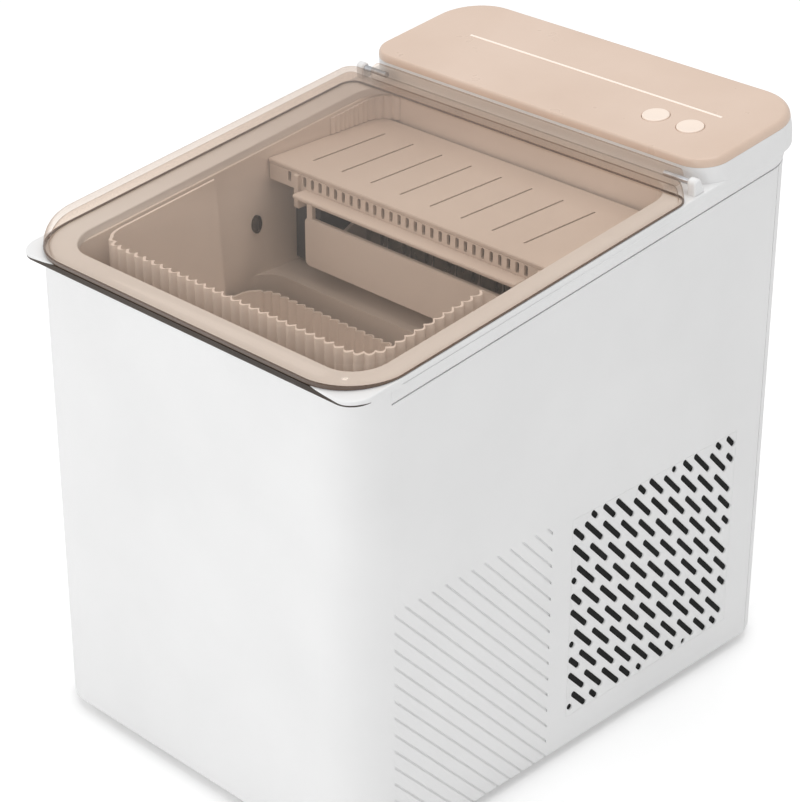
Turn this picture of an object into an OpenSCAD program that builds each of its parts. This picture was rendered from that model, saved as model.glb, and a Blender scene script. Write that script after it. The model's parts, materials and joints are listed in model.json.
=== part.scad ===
// Countertop ice maker with an inclined tinted lid and a diagonal-slot grille.
// Millimetres, +Z up. The front faces -Y and the right side faces +X.
// The origin is on the table, under the middle of the body.

/* [Body] */
// Width of the body across its side walls
body_w = 220; // [200:1:240]
// Depth of the body from front wall to rear wall
body_d = 303; // [280:1:320]
// Plan radius of the four upright corners
corner_r = 25; // [15:1:35]
// Thickness of the moulded walls
wall = 2.2; // [1.8:0.1:3]
// Height of the rubber feet under the body
foot_h = 6; // [4:0.5:10]

/* [Inclined top] */
// Height of the deck plane above the origin, at the middle of the body
deck_h = 265.3; // [255:0.5:275]
// Slope of the deck, rising to the rear
deck_tilt = 6.6; // [3:0.1:8]
// Half width of the top cover's rim
rim_half_w = 112; // [110.5:0.5:115]
// Front edge of the rim, measured along the deck
rim_front = -154.5; // [-158:0.5:-151]
// Rear edge of the control panel, measured along the deck
rim_rear = 157; // [152:0.5:158]
// Height of the top cover's skirt below the deck
skirt_h = 11; // [9:0.5:16]
// Gap of the seam between skirt and side wall
seam_gap = 0.6; // [0.3:0.1:1]
// Height of the control panel above the deck
panel_rise = 12.5; // [10:0.5:16]
// Front wall of the control panel, measured along the deck
panel_front = 76; // [74:0.5:82]

/* [Lid] */
// Height of the lid's top above the deck
lid_rise = 10; // [8:0.5:12]
// Wall thickness of the lid
lid_t = 2.4; // [1.8:0.1:3]
// Distance of the hinge axis from the origin, measured along the deck
hinge_y = 70; // [70:0.5:72]
// Height of the hinge axis above the deck
hinge_z = 5.5; // [5:0.1:5.6]
// Diameter of the hinge pins
hinge_pin_d = 3; // [2.5:0.1:3.5]

/* [Grille] */
// Length of the grille window along the side
grille_w = 123; // [100:1:124]
// Height of the grille window
grille_h = 111; // [90:1:112]
// Middle of the grille window along Y
grille_y = 51.5; // [50:0.5:54]
// Middle of the grille window above the table
grille_z = 77.5; // [70:0.5:80]
// Width of one slot
slot_w = 3; // [2:0.1:3.4]
// Length of one slot, ends included
slot_l = 19.4; // [12:0.2:20]
// Distance between neighbouring diagonals of slots
slot_pitch = 6.18; // [5.5:0.02:7]
// Distance from slot to slot along one diagonal
slot_step = 25.8; // [22:0.2:30]
// Slope of the slots and of the side grooves, degrees
slot_angle = 46.7; // [40:0.1:50]

/* [Ice chamber] */
// Half width of the liner's inside
liner_half_w = 96.5; // [94:0.5:97]
// Floor of the water reservoir
reservoir_z = 64; // [60:1:70]
// Height of the tray shaft
tray_z = 226; // [225:0.5:227]
// Distance of the tray shaft behind the middle of the body
tray_y = 25; // [24:0.5:26]
// Outer radius of the water tray
tray_r = 27; // [26:0.5:27]
// Number of freezing fingers
finger_count = 9; // [5:1:9]
// Distance between two fingers
finger_step = 15.5; // [13:0.5:15.5]
// Height of the ice basket's floor
basket_z = 132; // [128:1:136]

/* [Hidden] */
$fn = 48;
eps = 0.01;
far = 400;
half_w = body_w / 2;
half_d = body_d / 2;
slot_shift = [1.8, 2.6];
rear_slope = 45;
rear_pitch = 6.1;
rear_step = 25.2;
rear_slot_l = 17.6;
rear_seam_y = half_d - 19;
tray_x0 = -64;
tray_x1 = 80;
finger_x0 = 8 - finger_step * (finger_count - 1) / 2;
shovel_y = -6;
shovel_z = 240;
fan_y = 53;
fan_z = 77;
compressor_x = -50;
compressor_y = 80;
compressor_r = 44;
pump_x = 62;
pump_y = -38;
float_x = -76;
float_y = -34;
drain_y = -92;
drain_z = 74;
inlet_x = -58;
inlet_z = 52;
sensor_y = -18;
sensor_z = 222;
button_y = 103;
button_d = 13.5;
power_x = 79.5;
size_x = 58.5;
light_y = 119;
light_x0 = -78;
light_x1 = 86;
rim_front_r = 11;
rim_rear_r = 27;
rim_t = 4;
pan_lip_h = 9;
grille_fit = 0.1;
cover_z = 255;
motor_x1 = -78;

// ---------- shared shapes ----------

// Rectangle with true round corners, from corner (x0, y0) to corner (x1, y1)
module round_rect(x0, y0, x1, y1, r) {
    translate([x0 + r, y0]) square([x1 - x0 - 2 * r, y1 - y0]);
    translate([x0, y0 + r]) square([x1 - x0, y1 - y0 - 2 * r]);
    for (x = [x0 + r, x1 - r], y = [y0 + r, y1 - r])
        translate([x, y]) circle(r);
}

// Rectangle whose two front corners and two rear corners have their own radii
module two_radius_rect(half, y0, y1, front_r, rear_r) {
    middle = (y0 + y1) / 2;
    intersection() {
        round_rect(-half, y0, half, y1 + 2 * front_r, front_r);
        translate([-half, y0]) square([2 * half, y1 - y0]);
        union() {
            round_rect(-half, y0 - 2 * rear_r, half, y1, rear_r);
            translate([-half, y0]) square([2 * half, middle - y0]);
        }
    }
}

// Plan outline of the body, grown or shrunk by g
module body_plan(g = 0) {
    round_rect(-half_w - g, -half_d - g, half_w + g, half_d + g, corner_r + g);
}

// Frame of the inclined deck: Y runs up the slope and Z is its normal
module on_deck() {
    translate([0, 0, deck_h]) rotate([deck_tilt, 0, 0]) children();
}

// Everything between two planes parallel to the deck
module deck_slab(z0, z1) {
    on_deck() translate([-far, -far, z0]) cube([2 * far, 2 * far, z1 - z0]);
}

// Cylinder along X, from x0 to x1
module rod_x(x0, x1, r) {
    translate([x0, 0, 0]) rotate([0, 90, 0]) cylinder(h = x1 - x0, r = r);
}

// Cylinder along Y, from y0 to y1
module rod_y(y0, y1, r) {
    translate([0, y0, 0]) rotate([-90, 0, 0]) cylinder(h = y1 - y0, r = r);
}

// Round bar between two points
module bar(a, b, r) {
    v = b - a;
    translate(a) rotate([0, acos(v[2] / norm(v)), atan2(v[1], v[0])]) cylinder(h = norm(v), r = r);
}

// Round tube that follows a list of points, with a thicker ball at each bend.
// Every second stretch is a little thinner, so that no two meet with equal radii.
module tube_run(points, r) {
    for (i = [0:len(points) - 2])
        bar(points[i], points[i + 1], r - (i % 2) * 0.15);
    for (i = [1:len(points) - 2])
        translate(points[i]) sphere(r + 0.4, $fn = 32);
}

// Outline of one slot, lying along X, with eight-sided rounding
module slot_outline(length) {
    c = slot_w / 2;
    k = c * tan(22.5);
    h = length / 2;
    polygon([[-h, -k], [-h + c - k, -c], [h - c + k, -c], [h, -k],
        [h, k], [h - c + k, c], [-h + c - k, c], [-h, k]]);
}

// Field of staggered diagonal slots that fills a rectangle around the origin
module slot_field(w, h, slope, pitch, step, length, shift = [0, 0]) {
    lines = ceil((w + h) / pitch / 2.6);
    steps = ceil((w + h) / step / 2.4);
    intersection() {
        square([w, h], center = true);
        rotate(-slope) translate(shift) for (i = [-lines:lines], j = [-steps:steps])
            translate([(j + (i % 2 == 0 ? 0 : 0.5)) * step, i * pitch])
                slot_outline(length);
    }
}

// ---------- case ----------

module base_pan() {
    pan_t = 2.5;
    fit = 0.4;
    color("gainsboro") difference() {
        union() {
            translate([0, 0, foot_h]) linear_extrude(pan_t) body_plan(-wall - fit);
            translate([0, 0, foot_h]) linear_extrude(pan_lip_h) difference() {
                body_plan(-wall - fit);
                body_plan(-2 * wall - fit);
            }
        }
        for (x = [-80, 80], y = [-118, 118])
            translate([x, y, 0]) cylinder(h = 20, d = 6);
        for (y = [-40:12:-4])
            translate([-40, y, 0]) cube([80, 5, 20]);
    }
}

module feet() {
    color("dimgray") for (x = [-80, 80], y = [-118, 118]) translate([x, y, 0]) {
        cylinder(h = foot_h, d1 = 17, d2 = 20);
        cylinder(h = foot_h + 4, d = 6);
    }
}

// Fine parallel grooves in the lower front part of one side wall
module side_grooves() {
    groove_w = 1.1;
    groove_depth = 0.8;
    groove_len = 240;
    middle_z = 69.9;
    y0 = -128;
    y1 = -24;
    z0 = foot_h;
    z1 = 136;
    intersection() {
        translate([half_w - groove_depth, y0, z0]) cube([10, y1 - y0, z1 - z0]);
        for (i = [-18:18])
            translate([half_w - groove_depth, (y0 + y1) / 2, middle_z + i * slot_pitch / cos(slot_angle)])
                rotate([-slot_angle, 0, 0]) translate([0, -groove_len / 2, -groove_w / 2])
                    cube([10, groove_len, groove_w]);
    }
}

module housing_wrap() {
    color("whitesmoke") difference() {
        intersection() {
            translate([0, 0, foot_h]) linear_extrude(far) difference() {
                body_plan();
                body_plan(-wall);
            }
            translate([-far, -far, 0]) cube([2 * far, far + rear_seam_y, far]);
            union() {
                deck_slab(-far, -skirt_h - seam_gap);
                intersection() {
                    deck_slab(-far, -rim_t);
                    translate([-far, -far, 0]) cube([2 * far, far - half_d + corner_r - 3, far]);
                }
            }
        }
        translate([-far, grille_y - grille_w / 2 - grille_fit, grille_z - grille_h / 2 - grille_fit])
            cube([2 * far, grille_w + 2 * grille_fit, grille_h + 2 * grille_fit]);
        side_grooves();
        mirror([1, 0, 0]) side_grooves();
        translate([0, drain_y, drain_z]) rod_x(-half_w - 1, -half_w + 5, 9.2);
    }
}

module grille(side) {
    flange = 5;
    color("whitesmoke") mirror([side < 0 ? 1 : 0, 0, 0]) difference() {
        union() {
            translate([half_w - wall, grille_y - grille_w / 2, grille_z - grille_h / 2])
                cube([wall, grille_w, grille_h]);
            translate([half_w - wall - 2, grille_y - grille_w / 2 - flange, grille_z - grille_h / 2 - flange])
                cube([2, grille_w + 2 * flange, grille_h + 2 * flange]);
        }
        translate([half_w - wall - 3, grille_y, grille_z]) rotate([90, 0, 90])
            linear_extrude(wall + 4) slot_field(grille_w - 1, grille_h - 1, slot_angle, slot_pitch,
                slot_step, slot_l, slot_shift);
    }
}

module grille_right() {
    grille(1);
}

module grille_left() {
    grille(-1);
}

module rear_cover() {
    inlet_w = 28;
    inlet_h = 20;
    color("whitesmoke") difference() {
        intersection() {
            translate([0, 0, foot_h]) linear_extrude(far) difference() {
                body_plan();
                body_plan(-wall);
            }
            translate([-far, rear_seam_y + 0.4, 0]) cube([2 * far, far, far]);
            deck_slab(-far, -skirt_h - seam_gap);
        }
        difference() {
            translate([0, far / 2, grille_z]) rotate([90, 0, 0])
                linear_extrude(far / 2 - rear_seam_y - 3)
                    slot_field(206, grille_h, rear_slope, rear_pitch, rear_step, rear_slot_l);
            translate([inlet_x - 30, 0, inlet_z - 24]) cube([60, far, 48]);
        }
        translate([inlet_x - inlet_w / 2, half_d - 10, inlet_z - inlet_h / 2])
            cube([inlet_w, 20, inlet_h]);
        for (p = screw_places)
            translate([p[0], 0, p[1]]) rod_y(half_d - 5, half_d + 1, 1.8);
    }
}

// Places of the rear cover's screws, as X and Z
screw_places = [for (x = [-80, 80], z = [20, 150, 236]) [x, z]];

module housing_screws() {
    color("silver") for (p = screw_places) translate([p[0], 0, p[1]]) difference() {
        union() {
            rod_y(half_d, half_d + 2, 3.5);
            rod_y(half_d - 9, half_d, 1.8);
        }
        translate([-2.4, half_d + 1, -0.45]) cube([4.8, 2, 0.9]);
        translate([-0.45, half_d + 1, -2.4]) cube([0.9, 2, 4.8]);
    }
}

// ---------- inclined top ----------

module rim_plan() {
    two_radius_rect(rim_half_w, rim_front, rim_rear, rim_front_r, rim_rear_r);
}

module top_cover() {
    ear_w = 11;
    color("whitesmoke") difference() {
        union() {
            // rim plate around the ice opening and under the panel
            on_deck() translate([0, 0, -rim_t]) linear_extrude(rim_t) rim_plan();
            // side and rear skirt, flush with the body
            intersection() {
                linear_extrude(far) difference() {
                    body_plan();
                    body_plan(-wall);
                }
                deck_slab(-skirt_h, -rim_t + eps);
                translate([-far, -half_d + corner_r - 3 + seam_gap, 0]) cube([2 * far, far, far]);
            }
            // housing of the control panel
            on_deck() linear_extrude(panel_rise - 3) panel_plan();
            // hinge ears
            on_deck() for (s = [-1, 1]) {
                translate([s * (rim_half_w - ear_w / 2 - 1), hinge_y, 0]) {
                    translate([-ear_w / 2, -4.4, -eps]) cube([ear_w, 10.5, hinge_z]);
                    translate([0, 0, hinge_z]) rod_x(-ear_w / 2, ear_w / 2, 4.4);
                }
            }
        }
        on_deck() {
            // ice opening
            translate([0, 0, -5]) linear_extrude(6) round_rect(-98, -138.5, 98, 71.5, 18);
            // room for the control board
            linear_extrude(panel_rise) panel_plan(-wall);
            // passage for the wiring
            translate([-30, 128, -5]) cube([30, 10, 6]);
            // seats of the hinge pins
            translate([0, hinge_y, hinge_z]) {
                rod_x(rim_half_w - ear_w - 2, rim_half_w - 3, hinge_pin_d / 2);
                rod_x(-rim_half_w + 3, -rim_half_w + ear_w + 2, hinge_pin_d / 2);
            }
        }
    }
}

// Outline of the panel, grown or shrunk by g
module panel_plan(g = 0) {
    two_radius_rect(rim_half_w + g, panel_front - g, rim_rear + g, rim_front_r + g, rim_rear_r + g);
}

module control_panel_cover() {
    color("bisque") on_deck() difference() {
        union() {
            translate([0, 0, panel_rise - 3]) linear_extrude(2) panel_plan();
            translate([0, 0, panel_rise - 1]) linear_extrude(1) panel_plan(-1);
            translate([0, 0, panel_rise - 6]) linear_extrude(3) difference() {
                panel_plan(-wall - 0.3);
                panel_plan(-2 * wall);
            }
        }
        for (x = [power_x, size_x])
            translate([x, button_y, 0]) cylinder(h = 20, d = button_d + 0.5);
        translate([light_x0, light_y - 0.9, 0]) cube([light_x1 - light_x0, 1.8, 20]);
    }
}

module push_button(x) {
    on_deck() translate([x, button_y, 0]) {
        translate([0, 0, panel_rise - 3.4]) cylinder(h = 3.9, d = button_d);
        translate([0, 0, panel_rise - 4.2]) cylinder(h = 0.9, d = button_d + 2.5);
    }
}

module power_button() {
    color("seashell") push_button(power_x);
}

module size_button() {
    color("seashell") push_button(size_x);
}

module indicator_light_bar() {
    color("white") on_deck() {
        translate([light_x0 + 0.2, light_y - 0.7, panel_rise - 3.2])
            cube([light_x1 - light_x0 - 0.4, 1.4, 3.3]);
        translate([light_x0 + 0.2, light_y - 3, panel_rise - 4.4])
            cube([light_x1 - light_x0 - 0.4, 6, 1.3]);
    }
}

module control_board() {
    board_z = 3;
    color("darkgreen") on_deck() {
        translate([-84, 96, board_z]) cube([178, 30, 1.6]);
        for (x = [-78, 88], y = [99.5, 122.5])
            translate([x, y, 0]) cylinder(h = board_z, d = 5);
        for (x = [power_x, size_x])
            translate([x - 3, button_y - 3, board_z + 1.6]) cube([6, 6, 2.4]);
        for (i = [0:7])
            translate([-68 + 20 * i, light_y - 1.5, board_z + 1.6]) cube([3.5, 3, 1.4]);
        translate([-40, 99, board_z + 1.6]) cube([14, 10, 2]);
    }
}

// ---------- lid ----------

// Outline of the lid, grown or shrunk by g, notched at the rear for the ears
module lid_plan(g = 0) {
    half = rim_half_w - 0.5;
    two_radius_rect(half + g, rim_front + 0.5 - g, hinge_y - 6 + g, 30 + g, 8 + g);
}

module lid() {
    barrel = rim_half_w - 13;
    color("rosybrown", 0.5) on_deck() difference() {
        union() {
            translate([0, 0, 0.4]) linear_extrude(lid_rise - 0.4) lid_plan();
            translate([0, hinge_y, hinge_z]) rod_x(-barrel, barrel, lid_rise - hinge_z);
            translate([-barrel, hinge_y - 8, lid_rise - lid_t]) cube([2 * barrel, 8, lid_t]);
        }
        translate([0, 0, -1]) linear_extrude(lid_rise - lid_t + 1) lid_plan(-lid_t);
        translate([0, hinge_y, hinge_z]) {
            rod_x(-barrel - 1, -barrel + 9, hinge_pin_d / 2 + 0.05);
            rod_x(barrel - 9, barrel + 1, hinge_pin_d / 2 + 0.05);
        }
    }
}

module lid_hinge_pins() {
    pin_in = rim_half_w - 21;
    color("silver") on_deck() translate([0, hinge_y, hinge_z]) {
        rod_x(pin_in, rim_half_w - 3, hinge_pin_d / 2);
        rod_x(-rim_half_w + 3, -pin_in, hinge_pin_d / 2);
    }
}

// ---------- ice chamber ----------

// Plan of the tall front bin of the liner, grown or shrunk by g
module bin_plan(g = 0) {
    round_rect(-liner_half_w - g, -137.5 - g, liner_half_w + g, -10 + g, 12 + g);
}

// Plan of the shallow rear chamber of the liner, grown or shrunk by g
module chamber_plan(g = 0) {
    round_rect(-liner_half_w - g, -60 - g, liner_half_w + g, 72 + g, 12 + g);
}

chamber_z = 194;

module liner() {
    t = 2;
    color("antiquewhite") difference() {
        union() {
            intersection() {
                translate([0, 0, reservoir_z - t]) linear_extrude(far) bin_plan(t);
                deck_slab(-far, -5);
            }
            intersection() {
                translate([0, 0, chamber_z - t]) linear_extrude(far) chamber_plan(t);
                deck_slab(-far, -5);
            }
            intersection() {
                deck_slab(-6, -4.1);
                linear_extrude(far) round_rect(-104, -143, 104, 77, 16);
            }
        }
        intersection() {
            translate([0, 0, reservoir_z]) linear_extrude(far) bin_plan();
            deck_slab(-far, 50);
        }
        intersection() {
            translate([0, 0, chamber_z]) linear_extrude(far) chamber_plan();
            deck_slab(-far, 50);
        }
        // passages of the evaporator tubes
        for (x = [-72, 86])
            translate([x, 0, tray_z + 12]) rod_y(70, 76, 5);
        // drain
        translate([0, drain_y, drain_z]) rod_x(-liner_half_w - 3, -liner_half_w + 1, 5.5);
    }
    color("antiquewhite") {
        // posts that carry the basket
        for (x = [-84, 74], y = [-118, -64])
            translate([x, y, reservoir_z - eps]) cube([10, 10, basket_z - reservoir_z - 0.4]);
        // ledges that carry the evaporator cover
        for (s = [-1, 1])
            translate([s > 0 ? liner_half_w - 3 : -liner_half_w - eps, 2, cover_z - 9])
                cube([3 + eps, 56, 6.7]);
    }
}

module insulation() {
    color("white") difference() {
        intersection() {
            translate([0, 0, 42]) linear_extrude(far)
                round_rect(-107.4, -148.9, 107.4, -6, corner_r - 3);
            deck_slab(-far, -skirt_h - 1.5);
        }
        translate([0, 0, reservoir_z - 2.3]) linear_extrude(far) bin_plan(2.3);
        translate([0, 0, chamber_z - 2.3]) linear_extrude(far) chamber_plan(2.3);
        translate([0, drain_y, drain_z]) rod_x(-half_w, -liner_half_w, 8.5);
    }
}

module ice_basket() {
    t = 2;
    front = -123.5;
    rear = -22;
    half = 90;
    low_z = 192;
    color("antiquewhite") difference() {
        intersection() {
            translate([0, 0, basket_z]) linear_extrude(far) round_rect(-half, front, half, rear, 14);
            union() {
                intersection() {
                    deck_slab(-far, -1.5);
                    translate([-far, -far, 0]) cube([2 * far, far - 48, far]);
                }
                translate([-far, -far, 0]) cube([2 * far, 2 * far, low_z]);
            }
        }
        translate([0, 0, basket_z + t]) linear_extrude(far)
            round_rect(-half + t, front + t, half - t, rear - t, 12);
        // upright slots in the front and the two sides
        for (i = [-12:12])
            translate([i * 6 - 1, front - 1, basket_z + 8]) cube([2, t + 2, 100]);
        for (i = [0:8], s = [-1, 1])
            translate([s * half - 2.5, front + 22 + i * 6, basket_z + 8]) cube([5, 2, 100]);
        // drain slots in the floor
        for (i = [-9:9])
            translate([i * 8 - 1.5, -96, basket_z - 1]) cube([3, 48, t + 2]);
    }
}

module evaporator() {
    header_z = tray_z + 12;
    finger_r = 5.5;
    finger_low = 207;
    color("peru") {
        translate([0, tray_y, header_z]) rod_x(-72, 86, 4);
        for (x = [-72, 86]) {
            translate([x, tray_y, header_z]) sphere(4);
            translate([x, 0, header_z]) rod_y(tray_y, 86, 4);
        }
    }
    color("silver") for (i = [0:finger_count - 1])
        translate([finger_x0 + i * finger_step, tray_y, finger_low + finger_r]) {
            sphere(finger_r);
            cylinder(h = header_z - finger_low - finger_r, r = finger_r);
        }
}

module evaporator_cover() {
    half = liner_half_w - 0.4;
    step_y = -9;
    lip_y = -18;
    shelf_z = 246;
    color("antiquewhite") {
        difference() {
            union() {
                translate([-half, step_y, cover_z - 2.2]) cube([2 * half, 70 - step_y, 2.2]);
                translate([-half, step_y, shelf_z - 2]) cube([2 * half, 2, cover_z - shelf_z + 2]);
            }
            // comb of slots in the step
            for (i = [0:29])
                translate([-82 + i * 5.4, step_y - 1, shelf_z + 0.8]) cube([2.2, 4, 6]);
            // rear corners follow the liner
            for (s = [-1, 1])
                translate([s * half - 6, 64, cover_z - 5]) cube([12, 10, 10]);
        }
        translate([-70, lip_y, shelf_z - 2]) cube([147, step_y - lip_y + eps, 2]);
        translate([-70, lip_y, shelf_z - 9]) cube([147, 2, 9]);
        // long ribs on the deck
        for (i = [0:7])
            translate([-78 + i * 20, 4, cover_z - eps]) cube([1.2, 50, 0.8]);
    }
    // cheeks that carry the shovel shaft
    color("antiquewhite") for (x = [-76, 84]) difference() {
        translate([x, shovel_y - 5, shovel_z - 6]) cube([3, 10, cover_z - shovel_z + 5]);
        translate([0, shovel_y, shovel_z]) rod_x(x - 1, x + 4, 3.05);
        translate([x - 1, lip_y - 1, shelf_z - 2 - eps]) cube([5, step_y - lip_y + 1, 20]);
    }
}

// Part of a circle in the plane, between two angles and two radii
module sector(r0, r1, a0, a1) {
    n = 24;
    polygon(concat(
        [for (i = [0:n]) let (a = a0 + (a1 - a0) * i / n) r1 * [cos(a), sin(a)]],
        [for (i = [n:-1:0]) let (a = a0 + (a1 - a0) * i / n) r0 * [cos(a), sin(a)]]));
}

module water_tray() {
    a0 = 205;
    a1 = 335;
    color("antiquewhite") translate([0, tray_y, tray_z]) {
        rotate([90, 0, 90]) translate([0, 0, tray_x0]) linear_extrude(tray_x1 - tray_x0)
            sector(tray_r - 2, tray_r, a0, a1);
        for (x = [tray_x0, tray_x1 - 2]) {
            rotate([90, 0, 90]) translate([0, 0, x]) linear_extrude(2)
                sector(1, tray_r - 1, a0, a1);
            rod_x(x, x + 2, 6);
        }
        rod_x(tray_x1 - 1, tray_x1 + 8, 3);
        difference() {
            rod_x(tray_x0 - 6, tray_x0 + 1, 5);
            rod_x(tray_x0 - 7, tray_x0 - 1, 2.55);
        }
    }
}

module tray_bearing() {
    color("white") difference() {
        union() {
            translate([tray_x1 + 3, tray_y - 7, chamber_z]) cube([5, 14, tray_z - chamber_z]);
            translate([0, tray_y, tray_z - 1.5]) rod_x(tray_x1 + 3, tray_x1 + 8, 6);
            translate([tray_x1 + 3, tray_y - 11, chamber_z]) cube([11, 22, 3]);
        }
        translate([0, tray_y, tray_z]) rod_x(tray_x1 + 2, tray_x1 + 9, 3.05);
    }
}

module tray_motor() {
    color("slategray") translate([0, tray_y, tray_z]) {
        difference() {
            translate([-liner_half_w + 0.5, -16, -30]) cube([motor_x1 + liner_half_w - 0.5, 34, 48]);
            for (y = [-12, 14], z = [-26, 14])
                translate([0, y, z]) rod_x(motor_x1 - 3, motor_x1 + 1, 1.6);
        }
        rod_x(motor_x1 - 1, tray_x0 - 1.5, 2.5);
    }
}

module ice_shovel() {
    x0 = -72.6;
    x1 = 83.6;
    reach = 26;
    color("antiquewhite") translate([0, shovel_y, shovel_z]) {
        rod_x(x0 - 4, x1 + 4, 3);
        for (i = [0:9])
            translate([finger_x0 - 9.25 + i * finger_step, -1.5, -reach]) cube([3, 3, reach]);
        translate([finger_x0 - 9.25, -1.5, -reach]) cube([9 * finger_step + 3, 3, 4]);
    }
}

module ir_sensor(side) {
    mirror([side < 0 ? 1 : 0, 0, 0]) translate([liner_half_w - 4, sensor_y, sensor_z]) {
        intersection() {
            rod_x(0, 4, 6);
            translate([-1, -6, -3.6]) cube([6, 12, 7.2]);
        }
        rod_x(1, 4, 7);
    }
}

module ir_sensor_left() {
    color("black") ir_sensor(-1);
}

module ir_sensor_right() {
    color("black") ir_sensor(1);
}

// ---------- water system ----------

module float_switch_stem() {
    color("white") translate([float_x, float_y, reservoir_z]) {
        cylinder(h = 4, d = 18);
        cylinder(h = 44, d = 6);
        translate([0, 0, 42]) cylinder(h = 3, d = 10);
    }
}

module level_float() {
    color("deepskyblue") translate([float_x, float_y, reservoir_z + 5]) difference() {
        cylinder(h = 18, d = 20);
        translate([0, 0, -1]) cylinder(h = 20, d = 6.2);
    }
}

module water_pump() {
    color("dimgray") translate([pump_x, pump_y, reservoir_z]) difference() {
        union() {
            cylinder(h = 30, d = 36);
            translate([0, 0, 30]) cylinder(h = 12, d = 26);
            translate([0, 0, 21]) rod_x(12, 22, 4.5);
        }
        translate([0, 0, 3]) cylinder(h = 12, d = 26.6);
        for (a = [0:45:315])
            rotate(a) translate([10, -1.2, 5]) cube([12, 2.4, 7]);
        translate([0, 0, 14]) cylinder(h = 12, d = 3.1);
    }
}

module pump_impeller() {
    color("white") translate([pump_x, pump_y, reservoir_z + 4]) {
        cylinder(h = 1.4, d = 25);
        cylinder(h = 8, d = 8);
        for (a = [0:60:300])
            rotate(a) translate([3, -0.8, 1]) cube([9, 1.6, 6]);
        cylinder(h = 18, d = 3);
    }
}

module water_hose() {
    x = 91.8;
    low = reservoir_z + 21;
    high = tray_z + 12;
    color("lightgray") tube_run([[pump_x + 22, pump_y, low], [x, pump_y, low], [x, -22, low + 15],
        [x, -22, 200], [x, -2, 208], [x, -2, high], [88, 9, high], [74, 9.5, high - 2]], 3.5);
}

module drain_spout() {
    color("gainsboro") translate([0, drain_y, drain_z]) difference() {
        union() {
            rod_x(-half_w + 2.6, -liner_half_w - 2, 8);
            rod_x(-liner_half_w - 2, -liner_half_w + 1, 5.5);
            rod_x(-half_w + 0.2, -half_w + 2.6, 9);
        }
        rod_x(-half_w, -liner_half_w + 2, 4);
    }
}

module drain_plug() {
    color("dimgray") translate([0, drain_y, drain_z]) {
        rod_x(-half_w - 1.8, -half_w, 9);
        rod_x(-half_w, -liner_half_w - 2, 3.95);
    }
}

// ---------- refrigeration ----------

// Places of the tube stubs on the compressor's dome, as X and Y
discharge_stub = [compressor_x + 20, compressor_y + 20];
suction_stub = [-72, compressor_y + 12];
stub_z = 144;

module compressor() {
    low = 22;
    high = 142;
    dome = 18;
    color("black") translate([compressor_x, compressor_y, 0]) {
        translate([0, 0, low]) cylinder(h = high - low - dome, r = compressor_r);
        translate([0, 0, high - dome]) intersection() {
            translate([0, 0, -compressor_r - 10]) sphere(r = compressor_r + 28, $fn = 96);
            cylinder(h = dome + 10, r = compressor_r);
        }
        translate([0, 0, (low + high) / 2]) cylinder(h = 4, r = compressor_r + 1.5);
        difference() {
            translate([-52, -46, low - 3]) cube([104, 92, 3.2]);
            for (x = [-45, 45], y = [-39, 39])
                translate([x, y, low - 4]) cylinder(h = 6, d = 9);
        }
        translate([30, -46, 70]) cube([18, 12, 34]);
    }
    // stubs of the two tubes
    color("peru") for (p = [discharge_stub, suction_stub])
        translate([p[0], p[1], 130]) cylinder(h = stub_z - 130, r = 4);
}

module compressor_grommets() {
    color("dimgray") for (x = [-45, 45], y = [-39, 39])
        translate([compressor_x + x, compressor_y + y, foot_h + 2.5]) difference() {
            union() {
                cylinder(h = 10.5, d = 15);
                cylinder(h = 15.5, d = 9);
                translate([0, 0, 13.8]) cylinder(h = 1.7, d = 13);
            }
            translate([0, 0, -1]) cylinder(h = 20, d = 4.2);
        }
}

module compressor_bolts() {
    color("silver") for (x = [-45, 45], y = [-39, 39])
        translate([compressor_x + x, compressor_y + y, foot_h + 2.5]) {
            cylinder(h = 16, d = 4.2);
            translate([0, 0, 15.5]) cylinder(h = 1, d = 10);
            translate([0, 0, 16.5]) cylinder(h = 3, d = 8, $fn = 6);
        }
}

module condenser() {
    x0 = 76;
    x1 = 98;
    y0 = -1;
    y1 = 107;
    z0 = 24;
    z1 = 132;
    fins = 22;
    color("darkgray") {
        for (i = [0:fins - 1])
            translate([x0, y0 + i * (y1 - y0 - 0.8) / (fins - 1), z0]) cube([x1 - x0, 0.8, z1 - z0]);
        translate([x0 + 2, y0, foot_h + 2.5]) cube([x1 - x0 - 4, 0.8, z0 - foot_h]);
        translate([x0 + 2, y1 - 0.8, foot_h + 2.5]) cube([x1 - x0 - 4, 0.8, z0 - foot_h]);
    }
    color("peru") for (z = [z0 + 12:21:z1 - 6], x = [x0 + 6, x1 - 6])
        translate([x, 0, z]) rod_y(y0 - 3, y1 + 3, 3);
}

module fan_shroud() {
    x0 = 70;
    color("darkslategray") {
        difference() {
            translate([x0, -1, foot_h + 2.5]) cube([3, 108, 125]);
            translate([0, fan_y, fan_z]) rod_x(x0 - 1, x0 + 4, 49);
        }
        difference() {
            translate([0, fan_y, fan_z]) rod_x(x0 - 12, x0 + 1, 51);
            translate([0, fan_y, fan_z]) rod_x(x0 - 13, x0 + 2, 49);
        }
        // arms that hold the motor
        for (a = [45:90:315])
            translate([x0 - 34, fan_y, fan_z]) rotate([a, 0, 0]) difference() {
                union() {
                    translate([0, 17, -2.5]) cube([3, 36, 5]);
                    translate([0, 49.5, -2.5]) cube([24, 3.5, 5]);
                }
                rod_x(-1, 23.5, 17.2);
            }
    }
}

module fan_motor() {
    color("dimgray") translate([0, fan_y, fan_z]) {
        rod_x(30, 48, 17);
        rod_x(48, 51, 8);
        rod_x(50, 62, 1.5);
        rod_x(27, 30, 8);
    }
}

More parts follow.
